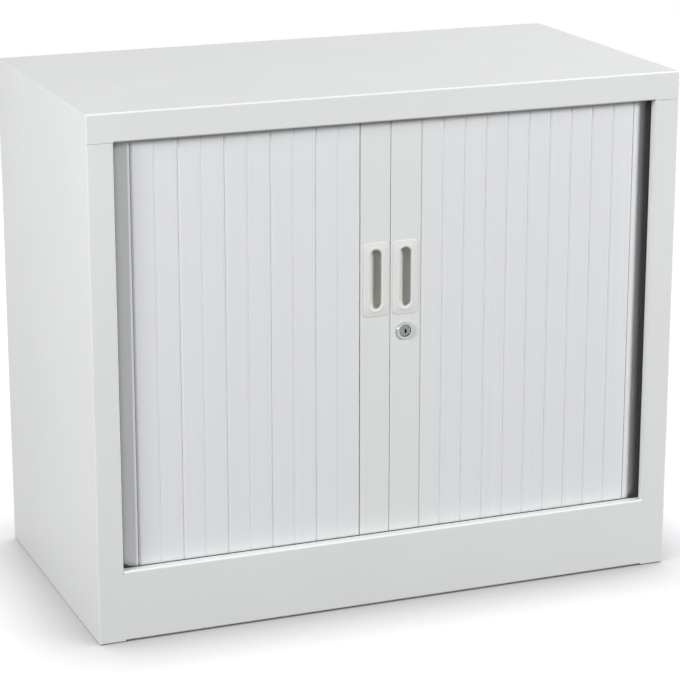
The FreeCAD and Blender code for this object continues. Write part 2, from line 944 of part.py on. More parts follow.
def lock_core():
    """The plug that the key turns, with a square spigot behind for the cam."""
    face = curtain_face - bezel_rise - core_proud
    plug = rod("y", pull_centre, lock_height, core_radius, face, lock_rear)
    plug = plug.makeChamfer(core_edge, edges_at(plug, "y", face))
    half = spigot_side / 2
    spigot = block(
        pull_centre - half,
        pull_centre + half,
        lock_rear,
        cam_rear,
        lock_height - half,
        lock_height + half,
    )
    keyhole = block(
        pull_centre - keyhole_width / 2,
        pull_centre + keyhole_width / 2,
        face - overrun,
        face + keyhole_depth,
        lock_height - keyhole_height / 2,
        lock_height + keyhole_height / 2,
    )
    thread = rod(
        "y",
        pull_centre,
        lock_height,
        cam_screw_shank,
        cam_rear - cam_screw_length,
        cam_rear + overrun,
    )
    return plug.fuse(spigot).removeSplitter().cut(keyhole).cut(thread)


def lock_cam():
    """The cam, hanging down when unlocked. A quarter turn carries its slot round the keeper's post."""
    centre = (pull_centre, lock_height)
    width = keeper_post + hook_play
    hub = rod("y", *centre, hub_radius, cam_front, cam_rear)
    arm = block(
        pull_centre - arm_width / 2,
        pull_centre + arm_width / 2,
        cam_front,
        cam_rear,
        lock_height - hook_reach + width,
        lock_height,
    )
    head = ring_part(
        "y",
        *centre,
        hook_reach - width - hook_jaw,
        hook_reach + width + hook_jaw,
        270 - hook_lead_deg,
        270 + hook_trail_deg,
        cam_front,
        cam_rear,
    )
    slot = ring_part(
        "y",
        *centre,
        hook_reach - width,
        hook_reach + width,
        270 - 2 * hook_lead_deg,
        270 + hook_stop_deg,
        cam_front,
        cam_rear,
    )
    half = spigot_side / 2 + cam_bore_play
    square = block(
        pull_centre - half,
        pull_centre + half,
        cam_front - overrun,
        cam_rear + overrun,
        lock_height - half,
        lock_height + half,
    )
    return hub.multiFuse([arm, head]).removeSplitter().cut(slot).cut(square)


def lock_cam_screw():
    """Holds the cam on the spigot."""
    head = rod("y", pull_centre, lock_height, cam_screw_head, cam_rear, cam_rear + cam_screw_rise)
    shank = rod(
        "y",
        pull_centre,
        lock_height,
        cam_screw_shank - screw_play,
        cam_rear - cam_screw_length,
        cam_rear,
    )
    screw = head.fuse(shank).removeSplitter()
    thin = screw_recess / 2
    end = cam_rear + cam_screw_rise
    slot = block(
        pull_centre - cam_screw_head,
        pull_centre + cam_screw_head,
        end - screw_recess,
        end + overrun,
        lock_height - thin,
        lock_height + thin,
    )
    return screw.cut(slot)


def keeper_screw_places():
    """Where the keeper is screwed to the left lead slat."""
    x = pull_centre - hook_reach - keeper_width / 2 + keeper_edge
    reach = keeper_height / 2 - keeper_screw_edge
    return [(x, lock_height - reach), (x, lock_height + reach)]


def keeper_screw(x, z, length, play):
    """One keeper screw, or with play the cutter for its hole."""
    face = curtain_rear + keeper_thickness
    sizes = (keeper_screw_head, keeper_screw_shank, keeper_thickness)
    return countersunk("y", x, z, face, -1, *sizes, length, play)


def keeper_screw_holes():
    """The holes for both keeper screws."""
    holes = [keeper_screw(x, z, keeper_screw_length, screw_play) for x, z in keeper_screw_places()]
    return Part.makeCompound(holes)


def keeper_screws():
    """Two flat-headed screws."""
    return Part.makeCompound(
        [keeper_screw(x, z, keeper_screw_length, 0) for x, z in keeper_screw_places()]
    )


def lock_keeper():
    """A plate behind the left lead slat with the post that the cam's slot takes."""
    post_x = pull_centre - hook_reach
    x1 = post_x + keeper_edge + keeper_post
    x0 = x1 - keeper_width
    rear = curtain_rear + keeper_thickness
    plate = rounded(
        "y",
        x0,
        x1,
        lock_height - keeper_height / 2,
        lock_height + keeper_height / 2,
        curtain_rear,
        rear,
        keeper_edge,
    )
    post = rod("y", post_x, lock_height, keeper_post, curtain_rear, cam_rear + keeper_post_proud)
    return plate.fuse(post).removeSplitter().cut(keeper_screw_holes())


def shelf():
    """A tray shelf: deep lips front and back that turn in, shallow lips at the sides."""
    side = liner_inner - shelf_side_play
    y0 = turn_y + shelf_front_gap
    y1 = back_front - shelf_back_gap
    low = shelf_top - shelf_lip
    body = tray(-side, side, y0, y1, low, shelf_top, shelf_sheet, shelf_bend)
    for way in (-1, 1):
        edges = sorted((way * (side + overrun), way * (side - 2 * shelf_bend)))
        inner = (y0 + shelf_bend, y1 - shelf_bend)
        body = body.cut(block(*edges, *inner, low - overrun, shelf_top - shelf_side_lip))
    reach = side - shelf_bend
    returns = [
        block(-reach, reach, y0, y0 + shelf_return, low, low + shelf_sheet),
        block(-reach, reach, y1 - shelf_return, y1, low, low + shelf_sheet),
    ]
    return body.multiFuse(returns).removeSplitter()


def shelf_clips():
    """Four clips that hook into the liners' slots and carry the shelf's side lips."""
    clips = []
    for y in (front_slots_y, rear_slots_y):
        half = clip_slot_width / 2 - clip_play
        wide = clip_arm_width / 2
        low = clip_top - clip_sheet
        top = clip_top - clip_play
        arm = block(liner_inner - clip_reach, liner_inner, y - wide, y + wide, low, clip_top)
        tongue_end = liner_outer + clip_tongue
        tongue = block(liner_inner - clip_sheet, tongue_end, y - half, y + half, low, top)
        hook = block(tongue_end - clip_sheet, tongue_end, y - half, y + half, top - clip_hook, top)
        heel = block(liner_inner - clip_sheet, liner_inner, y - wide, y + wide, low - clip_hook, clip_top)
        clip = arm.multiFuse([tongue, hook, heel]).removeSplitter()
        clips += [clip, mirrored(clip)]
    return Part.makeCompound(clips)


def foot_places():
    """The four feet, by corner."""
    x = side_inner - rail_side_gap - rail_width / 2
    y = half_depth - foot_inset
    return {
        "front_left": (-x, -y),
        "front_right": (x, -y),
        "rear_left": (-x, y),
        "rear_right": (x, y),
    }


def foot_rails():
    """Two channels under the base pan, each with a threaded collar for two feet."""
    rails = []
    low = base_under - rail_drop
    x1 = side_inner - rail_side_gap
    x0 = x1 - rail_width
    outline = [(x0, base_under), (x0, low), (x1, low), (x1, base_under)]
    y0 = front + skin + rail_end_gap
    y1 = back_front - rail_end_gap
    for side in (-1, 1):
        rail = folded("y", outline, rail_sheet, rail_bend, 1, y0, y1)
        if side < 0:
            rail = mirrored(rail)
        for x, y in foot_places().values():
            if x * side < 0:
                continue
            collar_top = low + rail_sheet + collar_height
            collar = rod("z", x, y, stud_radius + collar_wall, low + rail_sheet / 2, collar_top)
            bore = rod("z", x, y, stud_radius + stud_play, low - overrun, collar_top + overrun)
            rail = rail.fuse(collar).removeSplitter().cut(bore)
        rails.append(rail)
    return Part.makeCompound(rails)


def foot(x, y):
    """A levelling foot: round pad, hexagon for a spanner, stud with a slot for a driver from above."""
    pad = rod("z", x, y, pad_radius, 0, pad_height)
    pad = pad.makeFillet(pad_edge, edges_at(pad, "z", pad_height))
    hex_top = pad_height + hex_height
    nut = hexagon("z", x, y, hex_flats, pad_height, hex_top)
    top = hex_top + stud_length
    stud = rod("z", x, y, stud_radius, hex_top, top)
    slot = block(
        x - stud_radius,
        x + stud_radius,
        y - driver_slot_width / 2,
        y + driver_slot_width / 2,
        top - driver_slot_depth,
        top + overrun,
    )
    return pad.multiFuse([nut, stud]).removeSplitter().cut(slot)


def save(name, shape):
    """Write one node."""
    shape.exportStep(f"parts/{name}.step")


def build():
    """Make every node."""
    os.makedirs("parts", exist_ok=True)
    save("top_panel", top_panel())
    side_panel = right_side_panel()
    save("right_side_panel", side_panel)
    save("left_side_panel", mirrored(side_panel))
    save("plinth_front", plinth_front())
    save("back_panel", back_panel())
    save("back_screws", back_screws())
    save("base_pan", base_pan())
    save("head_pan", head_pan())
    save("floor_panel", floor_panel())
    liner = right_liner()
    save("right_liner", liner)
    save("left_liner", mirrored(liner))
    low = (base_top, base_top + low_track_height, True)
    high = (high_track_bottom, head_under, False)
    for level, place in (("bottom", low), ("top", high)):
        save(f"front_track_{level}", front_track(*place))
        track = right_track(*place)
        save(f"right_track_{level}", track)
        save(f"left_track_{level}", mirrored(track))
    save("end_stops", end_stops())
    save("shelf", shelf())
    save("shelf_clips", shelf_clips())
    save("foot_rails", foot_rails())
    for corner, (x, y) in foot_places().items():
        save(f"{corner}_foot", foot(x, y))

    one_slat = slat()
    joints = joints_from(lead_width, all_slats)
    slats = [placed(one_slat, a, b) for a, b in zip(joints, joints[1:])]
    for number, piece in enumerate(slats[:straight_slats], 1):
        save(f"right_slat_{number:02d}", piece)
        save(f"left_slat_{number:02d}", mirrored(piece))
    tail = Part.makeCompound(slats[straight_slats:])
    save("right_tail_slats", tail)
    save("left_tail_slats", mirrored(tail))

    save("right_lead_slat", right_lead_slat())
    save("left_lead_slat", left_lead_slat())
    cup = handle_cup()
    save("right_handle_cup", cup)
    save("left_handle_cup", mirrored(cup))
    glides = lead_glides()
    save("right_lead_glides", glides)
    save("left_lead_glides", mirrored(glides))
    save("lock_housing", lock_housing())
    save("lock_nut", lock_nut())
    save("lock_core", lock_core())
    save("lock_cam", lock_cam())
    save("lock_cam_screw", lock_cam_screw())
    save("lock_keeper", lock_keeper())
    save("keeper_screws", keeper_screws())
    print("nodes", len(os.listdir("parts")), "slats each side", all_slats, "travel", shutter_travel)


build()
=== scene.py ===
import json
import math

import bmesh
import bpy
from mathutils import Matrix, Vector


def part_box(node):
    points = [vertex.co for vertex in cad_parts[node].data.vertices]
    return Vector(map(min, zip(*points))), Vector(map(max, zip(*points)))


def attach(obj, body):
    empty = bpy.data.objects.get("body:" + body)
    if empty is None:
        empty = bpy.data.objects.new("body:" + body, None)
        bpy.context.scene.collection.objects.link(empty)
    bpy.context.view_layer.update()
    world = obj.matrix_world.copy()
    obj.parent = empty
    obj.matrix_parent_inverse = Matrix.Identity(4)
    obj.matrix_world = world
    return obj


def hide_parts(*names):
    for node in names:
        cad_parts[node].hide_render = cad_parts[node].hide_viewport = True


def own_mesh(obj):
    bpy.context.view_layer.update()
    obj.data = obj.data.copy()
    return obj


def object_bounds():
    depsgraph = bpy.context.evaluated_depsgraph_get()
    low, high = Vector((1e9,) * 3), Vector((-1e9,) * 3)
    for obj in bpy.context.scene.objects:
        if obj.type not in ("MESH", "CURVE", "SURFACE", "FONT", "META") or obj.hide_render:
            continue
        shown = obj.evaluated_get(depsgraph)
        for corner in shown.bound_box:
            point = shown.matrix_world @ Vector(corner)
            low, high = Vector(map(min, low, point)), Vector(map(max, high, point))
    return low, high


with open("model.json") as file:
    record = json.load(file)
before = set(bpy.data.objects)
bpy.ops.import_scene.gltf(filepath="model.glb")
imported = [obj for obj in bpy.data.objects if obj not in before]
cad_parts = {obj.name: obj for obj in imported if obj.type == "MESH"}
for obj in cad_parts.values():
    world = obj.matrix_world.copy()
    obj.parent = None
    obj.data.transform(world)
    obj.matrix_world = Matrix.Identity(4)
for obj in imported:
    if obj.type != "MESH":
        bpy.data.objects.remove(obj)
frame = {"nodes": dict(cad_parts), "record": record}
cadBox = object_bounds()
nodes = frame["nodes"]
mm = 0.001
sides = {"left": -1, "right": 1}
print("frame loaded:", len(nodes), "nodes")


# Small tools

weldMm = 0.001  # points of a mesh that lie closer than this become one


def linear(hexColour):
    # sRGB hex to the linear values that shaders take
    shares = [int(hexColour[k:k + 2], 16) / 255 for k in (1, 3, 5)]
    return [c / 12.92 if c <= 0.04045 else ((c + 0.055) / 1.055) ** 2.4 for c in shares] + [1]


def perMetre(size):
    # texture scale for a pattern whose cells are this many millimetres
    return 1 / (size * mm)


def addNode(tree, kind, settings=None, links=None):
    # settings go to the node's own fields or to its sockets, by name or number
    node = tree.nodes.new(kind)
    for name, value in (settings or {}).items():
        if isinstance(name, str) and hasattr(node, name):
            setattr(node, name, value)
        else:
            node.inputs[name].default_value = value
    for name, source in (links or {}).items():
        tree.links.new(source, node.inputs[name])
    return node


def addPiece(name, points, faces, material, body, slot, creaseDeg):
    # a mesh in the cupboard's frame, in metres, that rides on a body
    mesh = bpy.data.meshes.new(name)
    mesh.from_pydata(points, [], faces)
    form = bmesh.new()
    form.from_mesh(mesh)
    bmesh.ops.remove_doubles(form, verts=form.verts, dist=weldMm * mm)
    bmesh.ops.recalc_face_normals(form, faces=form.faces)
    form.to_mesh(mesh)
    form.free()
    mesh.materials.append(material)
    mesh.shade_smooth()
    mesh.set_sharp_from_angle(angle=math.radians(creaseDeg))
    piece = bpy.data.objects.new(name, mesh)
    bpy.context.scene.collection.objects.link(piece)
    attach(piece, body)
    return piece


def skinRings(rings):
    # points and faces of a closed form laid over rings that all have as many points
    count = len(rings[0])
    points = [point for ring in rings for point in ring]
    faces = [tuple(range(count)), tuple(range(len(points) - count, len(points)))]
    for row in range(0, len(points) - count, count):
        for k in range(count):
            after = (k + 1) % count
            faces.append((row + k, row + after, row + count + after, row + count + k))
    return points, faces


def roundedRing(centre, y, halfWidth, halfHeight, corner, steps):
    # a rounded rectangle in the plane y, in millimetres
    # a corner as large as a half side makes a round end
    corner = min(corner, halfWidth, halfHeight)
    ring = []
    for quarter, (sx, sz) in enumerate(((1, 1), (-1, 1), (-1, -1), (1, -1))):
        for k in range(steps + 1):
            angle = (quarter + k / steps) * math.pi / 2
            x = centre[0] + sx * (halfWidth - corner) + corner * math.cos(angle)
            z = centre[1] + sz * (halfHeight - corner) + corner * math.sin(angle)
            ring.append((x * mm, y * mm, z * mm))
    return ring


# Materials
# A pattern is noise with cells of so many millimetres, which a stretch below 1 draws out along Z.
# It moves the colour between two shades, the roughness between two values or the surface by a
# relief in millimetres. Die lines, polish marks and moulded grain are finer on the real pieces
# than a render shows, so they are drawn as coarse as they need to be.

# a lighter colour for the folds: a painted highlight, where the rounded bends would catch the light
foldHighlightColour = "#e7e9e8"
looks = {
    # polyester powder coat on sheet steel, sprayed and baked: a satin light grey, fine orange peel
    "powder_coated_steel": {
        "name": "powderCoatedSteel",
        "colour": "#e0e2e1",
        "sockets": {"IOR": 1.5, "Roughness": 0.42},
        "patterns": [
            {"cell": 140, "detail": 2, "shades": ("#dcdedd", "#e3e5e4")},
            {"cell": 0.5, "detail": 1, "roughness": (0.36, 0.5)},
            {"cell": 1.8, "detail": 2, "relief": 0.02},
        ],
        "folds": foldHighlightColour,
    },
    # unplasticised PVC, extruded: semi-matt, a shade bluer than the coat, with faint die lines
    "slat_plastic": {
        "name": "extrudedPvc",
        "colour": "#dfe0e2",
        "sockets": {"IOR": 1.53, "Roughness": 0.34, "Coat Weight": 0.35, "Coat Roughness": 0.2},
        "patterns": [{
            "cell": 1.6, "detail": 3, "stretch": 0.003, "shades": ("#dbdcde", "#e3e4e6"),
            "roughness": (0.28, 0.42), "relief": 0.015}],
    },
    # aluminium extrusion with the same grey coat: smoother than the sheet, die lines under it
    "lead_slat_aluminium": {
        "name": "coatedAluminium",
        "colour": "#dfe1e0",
        "sockets": {"IOR": 1.5, "Roughness": 0.38},
        "patterns": [{
            "cell": 2.2, "detail": 3, "stretch": 0.003, "shades": ("#dbdddc", "#e2e4e3"),
            "roughness": (0.33, 0.43), "relief": 0.012}],
        "folds": foldHighlightColour,
    },
    # ABS, injection moulded: fine spark-eroded grain, warmer than the coat
    # painted shade: the cup's colour darkens from its rim to its floor, deeper in its recess
    "handle_plastic": {
        "name": "mouldedAbs",
        "colour": "#e0e1de",
        "sockets": {"IOR": 1.54, "Roughness": 0.36},
        "patterns": [{
            "cell": 0.35, "detail": 2, "shades": ("#dddedb", "#e4e5e2"),
            "roughness": (0.3, 0.42), "relief": 0.008}],
        "recessShade": {"colour": "#c8c7c1", "rimY": -196.2, "floorY": -188.5},
    },
    # natural nylon, moulded: waxy off-white that lets a little light in
    "glide_nylon": {
        "name": "naturalNylon",
        "colour": "#e8e5da",
        "sockets": {
            "IOR": 1.53, "Roughness": 0.35, "Subsurface Weight": 0.1, "Subsurface Scale": 1.5 * mm},
        "patterns": [{
            "cell": 6, "detail": 2, "shades": ("#e2dfd3", "#ecebe2"), "roughness": (0.3, 0.45)}],
    },
    # black PVC, extruded: half gloss, faintly clouded by dust
    "black_track_plastic": {
        "name": "blackTrackPvc",
        "colour": "#1d1e1f",
        "sockets": {"IOR": 1.53, "Roughness": 0.4},
        "patterns": [{
            "cell": 2, "detail": 3, "shades": ("#161718", "#262728"),
            "roughness": (0.32, 0.55), "relief": 0.01}],
    },
    # EPDM rubber, moulded: flat black with a bloom
    "black_rubber": {
        "name": "mouldedRubber",
        "colour": "#232323",
        "sockets": {"IOR": 1.52, "Roughness": 0.75},
        "patterns": [
            {"cell": 3, "detail": 4, "shades": ("#1c1c1c", "#2d2d2c"), "relief": 0.03}],
    },
    # glass-filled nylon, moulded: black, slightly rough from the fibres
    "foot_plastic": {
        "name": "glassFilledNylon",
        "colour": "#27282a",
        "sockets": {"IOR": 1.53, "Roughness": 0.5},
        "patterns": [{
            "cell": 0.8, "detail": 4, "shades": ("#1f2022", "#303133"),
            "roughness": (0.42, 0.6), "relief": 0.015}],
    },
    # bright zinc plate on steel: bluish silver, faintly cloudy
    "zinc_plated_steel": {
        "name": "zincPlatedSteel",
        "colour": "#c4c7ca",
        "sockets": {"Metallic": 1, "Roughness": 0.3},
        "patterns": [{
            "cell": 4, "detail": 3, "shades": ("#b4b8bc", "#d2d4d4"), "roughness": (0.22, 0.4)}],
    },
    # chromium plate on a zinc casting, polished: near mirror with hairline polish marks
    "chrome_plate": {
        "name": "chromePlatedZinc",
        "colour": "#c3c5c7",
        "sockets": {"Metallic": 1, "Roughness": 0.08},
        "patterns": [{"cell": 0.4, "detail": 2, "roughness": (0.05, 0.14), "relief": 0.001}],
    },
    # nickel plate on a brass plug, satin turned: darker and warmer than the collar's chromium
    "nickel_plate": {
        "name": "nickelPlatedBrass",
        "colour": "#8f9192",
        "sockets": {"Metallic": 1, "Roughness": 0.2},
        "patterns": [{
            "cell": 0.5, "detail": 2, "shades": ("#7d7f80", "#a2a4a5"),
            "roughness": (0.14, 0.26)}],
    },
    # blued spring steel, near black and dull, deep in the keyhole: its own colour, and a painted
    # shade for the keyhole's depth
    "blued_steel_and_shade": {
        "name": "bluedSteelAndShade",
        "colour": "#17181a",
        "sockets": {"Metallic": 1, "Roughness": 0.45},
        "patterns": [{"cell": 0.6, "detail": 3, "shades": ("#0e0f10", "#242628")}],
    },
}
# the largest axis share of a normal about 10 and 30 degrees round a fold
# the painted highlight starts at the first and is brightest from the second
foldHighlightShares = (0.985, 0.86)


def newMaterial(name):
    material = bpy.data.materials.new(name)
    material.use_nodes = True
    material.node_tree.nodes.clear()
    return material, material.node_tree


def addPattern(tree, shader, place, row):
    if "stretch" in row:
        place = addNode(
            tree, "ShaderNodeMapping", {"Scale": (1, 1, row["stretch"])},
            {"Vector": place}).outputs["Vector"]
    pattern = addNode(
        tree, "ShaderNodeTexNoise", {"Scale": perMetre(row["cell"]), "Detail": row["detail"]},
        {"Vector": place}).outputs["Fac"]
    if "shades" in row:
        darker, lighter = (linear(shade) for shade in row["shades"])
        mix = addNode(
            tree, "ShaderNodeMix", {"data_type": "RGBA", 6: darker, 7: lighter}, {0: pattern})
        tree.links.new(mix.outputs[2], shader.inputs["Base Color"])
    if "roughness" in row:
        low, high = row["roughness"]
        span = addNode(
            tree, "ShaderNodeMapRange", {"To Min": low, "To Max": high}, {"Value": pattern})
        tree.links.new(span.outputs["Result"], shader.inputs["Roughness"])
    if "relief" in row:
        bump = addNode(
            tree, "ShaderNodeBump", {"Distance": row["relief"] * mm, "Strength": 1},
            {"Height": pattern})
        tree.links.new(bump.outputs["Normal"], shader.inputs["Normal"])


def tint(tree, shader, colour, mask):
    # moves the base colour to another where the mask is 1
    below = shader.inputs["Base Color"].links[0].from_socket
    mix = addNode(
        tree, "ShaderNodeMix", {"data_type": "RGBA", 7: linear(colour)}, {0: mask, 6: below})
    tree.links.new(mix.outputs[2], shader.inputs["Base Color"])


def foldHighlightMask(tree):
    # painted highlight: the base colour turns lighter wherever the normal leaves the axes, as on a
    # fold so each fold reads as a fine light line
    normal = addNode(tree, "ShaderNodeTexCoord").outputs["Normal"]
    facing = addNode(tree, "ShaderNodeVectorMath", {"operation": "ABSOLUTE"}, {0: normal})
    axes = addNode(tree, "ShaderNodeSeparateXYZ", links={0: facing.outputs[0]}).outputs
    wide = addNode(
        tree, "ShaderNodeMath", {"operation": "MAXIMUM"}, {0: axes[0], 1: axes[1]})
    most = addNode(
        tree, "ShaderNodeMath", {"operation": "MAXIMUM"}, {0: wide.outputs[0], 1: axes[2]})
    start, full = foldHighlightShares
    fold = addNode(
        tree, "ShaderNodeMapRange", {"From Min": start, "From Max": full},
        {"Value": most.outputs[0]})
    return fold.outputs["Result"]


def depthMask(tree, place, near, far):
    # 0 at one depth behind the cupboard's middle plane and 1 at the other
    depth = addNode(tree, "ShaderNodeSeparateXYZ", links={0: place}).outputs["Y"]
    span = addNode(
        tree, "ShaderNodeMapRange", {"From Min": near * mm, "From Max": far * mm},
        {"Value": depth})
    return span.outputs["Result"]


def makeFinish(look):
    material, tree = newMaterial(look["name"])
    shader = addNode(
        tree, "ShaderNodeBsdfPrincipled",
        {"Base Color": linear(look["colour"]), **look["sockets"]})
    addNode(tree, "ShaderNodeOutputMaterial", links={"Surface": shader.outputs["BSDF"]})
    place = addNode(tree, "ShaderNodeTexCoord").outputs["Object"]
    for row in look["patterns"]:
        addPattern(tree, shader, place, row)
    # the painted highlight on the folds
    if "folds" in look:
        tint(tree, shader, look["folds"], foldHighlightMask(tree))
    # painted shade, darker the deeper in the cup
    if "recessShade" in look:
        recessShade = look["recessShade"]
        mask = depthMask(tree, place, recessShade["rimY"], recessShade["floorY"])
        tint(tree, shader, recessShade["colour"], mask)
    return material


finishes = {slot: makeFinish(look) for slot, look in looks.items()}
for part in frame["record"]["subparts"]:
    mesh = nodes[part["node"]].data
    mesh.materials.clear()
    mesh.materials.append(finishes[part["material_slot"]])
print("materials made:", len(finishes))


# Slats

slatForm = {
    "pitch": 30.0,  # joint to joint
    "gap": 0.16,  # line between two faces
    "thick": 7.0,
    "skin": 2.0,  # front wall
    "edgeReach": 3.0,  # how far in the bevelled edge starts
    "edgeDrop": 1.4,
    "edgePower": 1.4,
    "edgeSteps": 8,
    # share of the drop at every second joint and at those between
    # the left shutter's slats close up in pairs
    "joints": {"left": (1.0, 0.4), "right": (0.75, 0.75)},
    "crown": 0.12,  # how far the middle stands proud of the edges
    "ribPitch": 2.5,
    "ribDepth": 0.05,
    "ribSteps": 6,
    "bead": 1.1,  # radius
    "beadSteps": 16,
    "neck": 0.9,  # between the bead and its slat
    "socket": 1.3,  # radius
    "socketSteps": 8,
    "mouth": 0.6,  # how far out of the socket's middle it opens
    "lip": 2.1,
    "relief": 2.0,
    "endWall": 27.4,
    "creaseDeg": 25,
    "turnRadius": 40.0,
    "turned": 3,  # slats round each corner
    "leadGap": 0.3,  # between the lead slat and the parked slats
    "halvings": 40,  # steps of the search for each joint
}


def slatOutline(drops):
    # the section: u runs from joint to joint, v back from the face
    # drops are its two edges' shares of the full drop
    form = slatForm
    first = form["gap"] / 2
    last = form["pitch"] - form["gap"] / 2
    middle = form["thick"] / 2
    reach, steps = form["edgeReach"], form["edgeSteps"]
    ribStart = first + reach
    ribSpan = last - first - 2 * reach
    ribCount = math.floor(ribSpan / form["ribPitch"])
    ribPitch = ribSpan / ribCount
    bevel = [first + reach * (1 - math.cos(k * math.pi / 2 / steps)) for k in range(steps)]
    stops = bevel + [
        ribStart + k * ribPitch / form["ribSteps"] for k in range(form["ribSteps"] * ribCount + 1)]
    stops += [first + last - u for u in reversed(bevel)]
    outline = []
    for u in stops:
        edge = min(u - first, last - u)
        inward = max(0, 1 - edge / reach)
        share = drops[0] if 2 * u < form["pitch"] else drops[1]
        v = form["edgeDrop"] * share * inward ** form["edgePower"]
        v += form["crown"] * ((2 * u - first - last) / (last - first)) ** 2
        if edge > reach:
            wave = math.cos((u - ribStart) / ribPitch * 2 * math.pi)
            v += form["ribDepth"] * (1 - wave) / 2
        outline.append((u, v))
    half = form["neck"] / 2
    wall = form["endWall"]
    outline += [(last, form["skin"]), (wall, form["skin"]), (wall, middle - half)]
    start = math.asin(half / form["bead"])
    for k in range(form["beadSteps"] + 1):
        angle = math.pi + start + (2 * math.pi - 2 * start) * k / form["beadSteps"]
        across, back = form["bead"] * math.cos(angle), form["bead"] * math.sin(angle)
        outline.append((form["pitch"] + across, middle + back))
    outline += [(wall, middle + half), (wall, form["thick"])]
    outline += [(form["relief"], form["thick"]), (form["mouth"], middle + form["lip"])]
    start = math.acos(form["mouth"] / form["socket"])
    for k in range(form["socketSteps"] + 1):
        angle = start * (1 - 2 * k / form["socketSteps"])
        across, back = form["socket"] * math.cos(angle), form["socket"] * math.sin(angle)
        outline.append((across, middle + back))
    outline += [(form["mouth"], form["skin"]), (first, form["skin"])]
    return outline


lowSlat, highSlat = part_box("right_slat_01")
slatFoot = lowSlat.z
slatHead = highSlat.z
curtainFace = lowSlat.y / mm
firstJoint = highSlat.x / mm - slatForm["bead"] - slatForm["pitch"]
curtainMiddle = curtainFace + slatForm["thick"] / 2
turnRadius = slatForm["turnRadius"]
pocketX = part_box("right_tail_slats")[1].x / mm - slatForm["thick"] / 2
turnX = pocketX - turnRadius
turnY = curtainMiddle + turnRadius
turnLength = turnRadius * math.pi / 2


def pathPoint(along):
    # a point on the right shutter's path, in millimetres from the middle of the front
    if along <= turnX:
        return along, curtainMiddle
    if along <= turnX + turnLength:
        angle = (along - turnX) / turnRadius
        return turnX + turnRadius * math.sin(angle), turnY - turnRadius * math.cos(angle)
    return pocketX, turnY + along - turnX - turnLength


def nextJoint(along):
    # where the next joint is, one pitch away in a straight line
    here = Vector(pathPoint(along))
    low = along + slatForm["pitch"]
    high = low + slatForm["pitch"]
    for _ in range(slatForm["halvings"]):
        middle = (low + high) / 2
        if (Vector(pathPoint(middle)) - here).length < slatForm["pitch"]:
            low = middle
        else:
            high = middle
    return low


def slatMesh(order, sideName):
    # the outline laid from one joint to the next, on the left or right shutter
    start, end = spots[order:order + 2]
    side = sides[sideName]
    drops = [slatForm["joints"][sideName][joint % 2] for joint in (order, order + 1)]
    heading = Vector((end[0] - start[0], end[1] - start[1])).normalized()
    inward = Vector((-heading.y, heading.x))
    section = []
    for u, v in slatOutline(drops):
        point = Vector(start) + heading * u + inward * (v - slatForm["thick"] / 2)
        section.append((side * point.x * mm, point.y * mm))
    return skinRings([[(x, y, z) for x, y in section] for z in (slatFoot, slatHead)])


straightCount = sum(1 for name in nodes if name.startswith("right_slat_"))
slatCount = straightCount + slatForm["turned"]
joints = [firstJoint]
for _ in range(slatCount):
    joints.append(nextJoint(joints[-1]))
spots = [pathPoint(along) for along in joints]
# where the curtain starts: at its limit the lead slat's edge stops here
for sideName, side in sides.items():
    curtainStart = min(abs(point[0]) for point in slatMesh(0, sideName)[0])
    for k in range(straightCount):
        name = f"{sideName}_slat_{k + 1:02d}"
        piece = addPiece(
            f"{name}_extrusion", *slatMesh(k, sideName), finishes["slat_plastic"], "carcass",
            "slat_plastic", slatForm["creaseDeg"])
        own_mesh(piece)
        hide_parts(name)
    points = []
    faces = []
    for k in range(straightCount, slatCount):
        more, skins = slatMesh(k, sideName)
        faces += [tuple(len(points) + n for n in face) for face in skins]
        points += more
    tail = addPiece(
        f"{sideName}_tail_extrusions", points, faces, finishes["slat_plastic"], "carcass",
        "slat_plastic", slatForm["creaseDeg"])
    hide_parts(f"{sideName}_tail_slats")
print("slats:", 2 * straightCount, "straight and", 2 * slatForm["turned"], "round the corners")


# Track lip, and black strips painted as shade behind the stiles

lipForm = {
    "front": 12.1,  # behind the cupboard's front
    "thick": 1.4,
    "foot": 92.0,
    # half width and height of the top edge, which climbs behind each stile
    "top": ((346.0, 95.7), (354.0, 97.0), (360.0, 100.0), (366.0, 105.0), (371.0, 112.0)),
    "creaseDeg": 20,
}
# black rubber strips behind each stile, a painted shade: a dark sheet set where the gap behind the
# stile lies in shade
gapShadeStripForm = {
    "front": 12.3,  # behind the cupboard's front, and so behind the lip's face
    "thick": 3.6,
    "x": (362.6, 372.0),
    "z": (96.0, 643.0),
    "creaseDeg": 20,
}


def addPlate(name, outline, form, slot):
    # an upright plate, with its outline in x and z, in millimetres
    front = cadBox[0].y / mm + form["front"]
    rings = [
        [(x * mm, y * mm, z * mm) for x, z in outline] for y in (front, front + form["thick"])]
    addPiece(name, *skinRings(rings), finishes[slot], "carcass", slot, form["creaseDeg"])


lipTop = lipForm["top"]
lipEnd = lipTop[-1][0]
lipOutline = [(-lipEnd, lipForm["foot"]), (lipEnd, lipForm["foot"])]
lipOutline += list(reversed(lipTop)) + [(-x, z) for x, z in lipTop]
addPlate("bottom_track_lip", lipOutline, lipForm, "black_track_plastic")
# the black strips of painted shade, one behind each stile
for sideName, side in sides.items():
    near, far = (side * x for x in gapShadeStripForm["x"])
    foot, head = gapShadeStripForm["z"]
    outline = [(near, foot), (far, foot), (far, head), (near, head)]
    addPlate(f"{sideName}_gap_shade_strip", outline, gapShadeStripForm, "black_rubber")
# the seals counted here are those black strips of painted shade
print("track lip: 1, dust seals:", len(sides))


# Finger pulls
# One moulding, used twice, so both are scooped on the left and undercut on the right.

